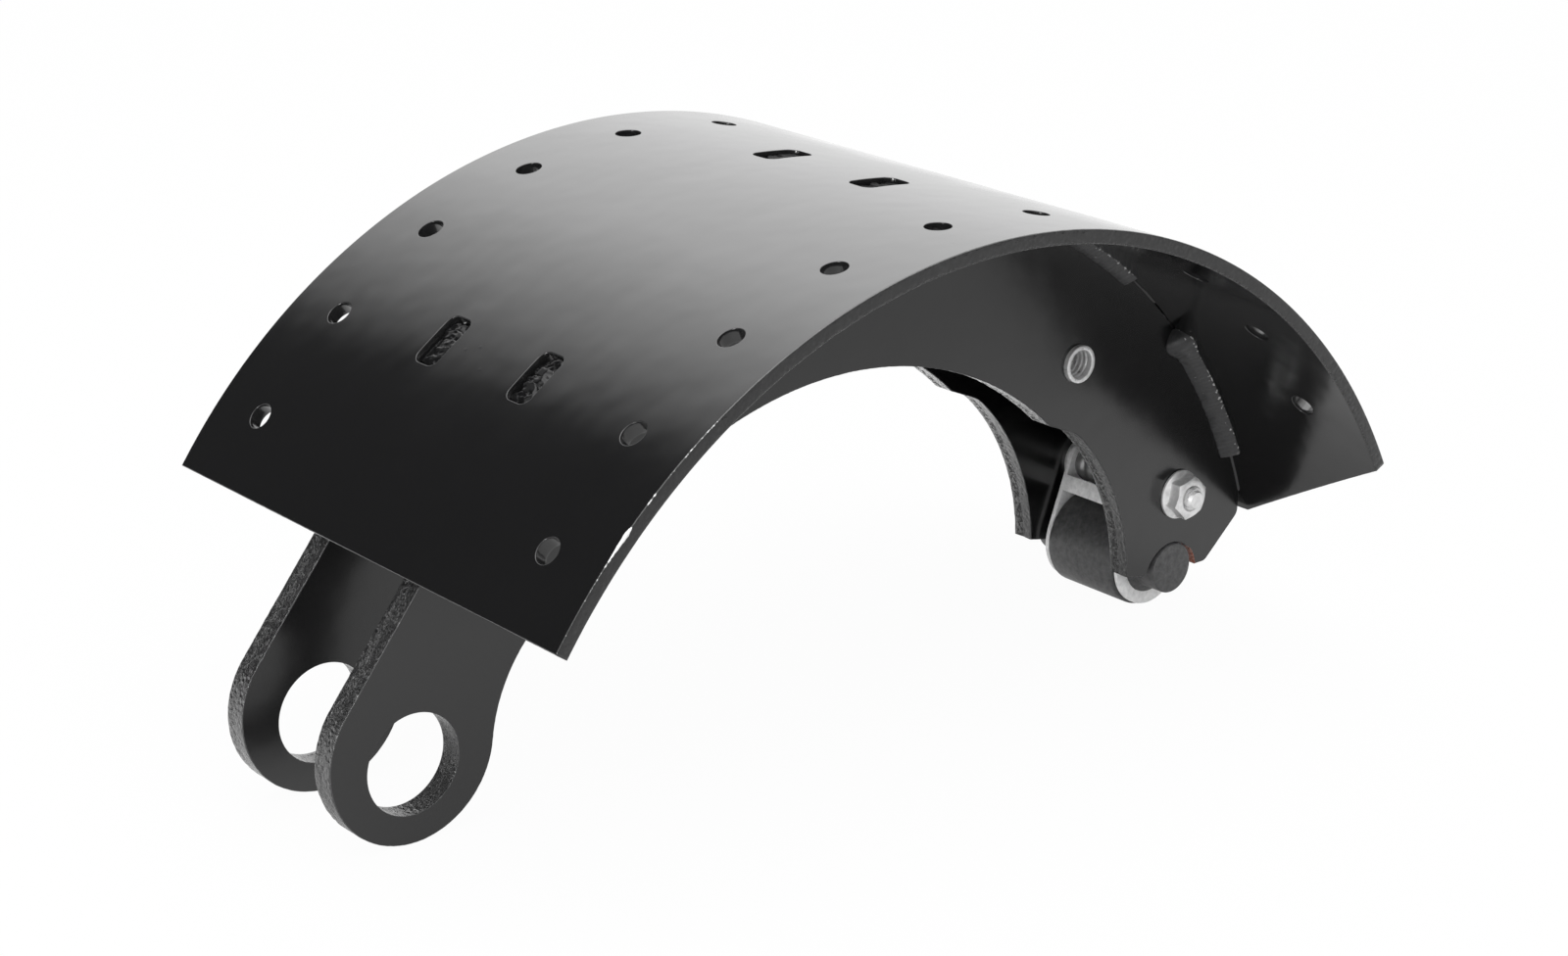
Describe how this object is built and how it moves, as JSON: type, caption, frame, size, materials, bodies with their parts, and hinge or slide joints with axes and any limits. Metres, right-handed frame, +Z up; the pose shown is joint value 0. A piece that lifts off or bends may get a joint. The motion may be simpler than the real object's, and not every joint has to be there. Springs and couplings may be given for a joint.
{
  "type": "drum brake shoe",
  "caption": "Curved drum brake shoe without lining: rolled table with rivet holes on two welded webs, anchor eyes at one end and a cam roller in a bracket at the other.",
  "frame": {"origin": "middle of the anchor bore, on its axis, halfway between the two webs", "axes": "+Y along the anchor bore, parallel to the drum's axis; +X from the anchor end towards the cam end, level; +Z up, towards the crown of the table"},
  "size_m": [0.3663, 0.186, 0.1644],
  "materials": {
    "gloss_black_paint": "gloss black dip paint",
    "painted_weld": "satin black paint over weld beads",
    "dark_forged_steel": "dark satin, phosphated",
    "bright_turned_steel": "bright, turned",
    "zinc_plated_steel": "zinc plated"
  },
  "bodies": {
    "shoe": {"bracket_bolt": "zinc_plated_steel", "bracket_nut": "zinc_plated_steel", "bracket_spacer": "zinc_plated_steel", "bracket_washer_far": "zinc_plated_steel", "bracket_washer_near": "zinc_plated_steel", "return_spring_sleeve": "bright_turned_steel", "roller_bracket": "zinc_plated_steel", "shoe_table": "gloss_black_paint", "tab_weld_far_1": "painted_weld", "tab_weld_far_2": "painted_weld", "tab_weld_far_3": "painted_weld", "tab_weld_near_1": "painted_weld", "tab_weld_near_2": "painted_weld", "tab_weld_near_3": "painted_weld", "web_far": "gloss_black_paint", "web_near": "gloss_black_paint", "web_weld_far_1": "painted_weld", "web_weld_far_2": "painted_weld", "web_weld_far_3": "painted_weld", "web_weld_far_4": "painted_weld", "web_weld_near_1": "painted_weld", "web_weld_near_2": "painted_weld", "web_weld_near_3": "painted_weld", "web_weld_near_4": "painted_weld"},
    "roller": {"cam_roller": "dark_forged_steel"}
  },
  "joints": [
    {"name": "roller_spin", "type": "hinge", "parent": "shoe", "child": "roller", "pos_m": [0.30129, 0, -0.0075], "axis": [0, 1, 0], "continuous": true}
  ]
}
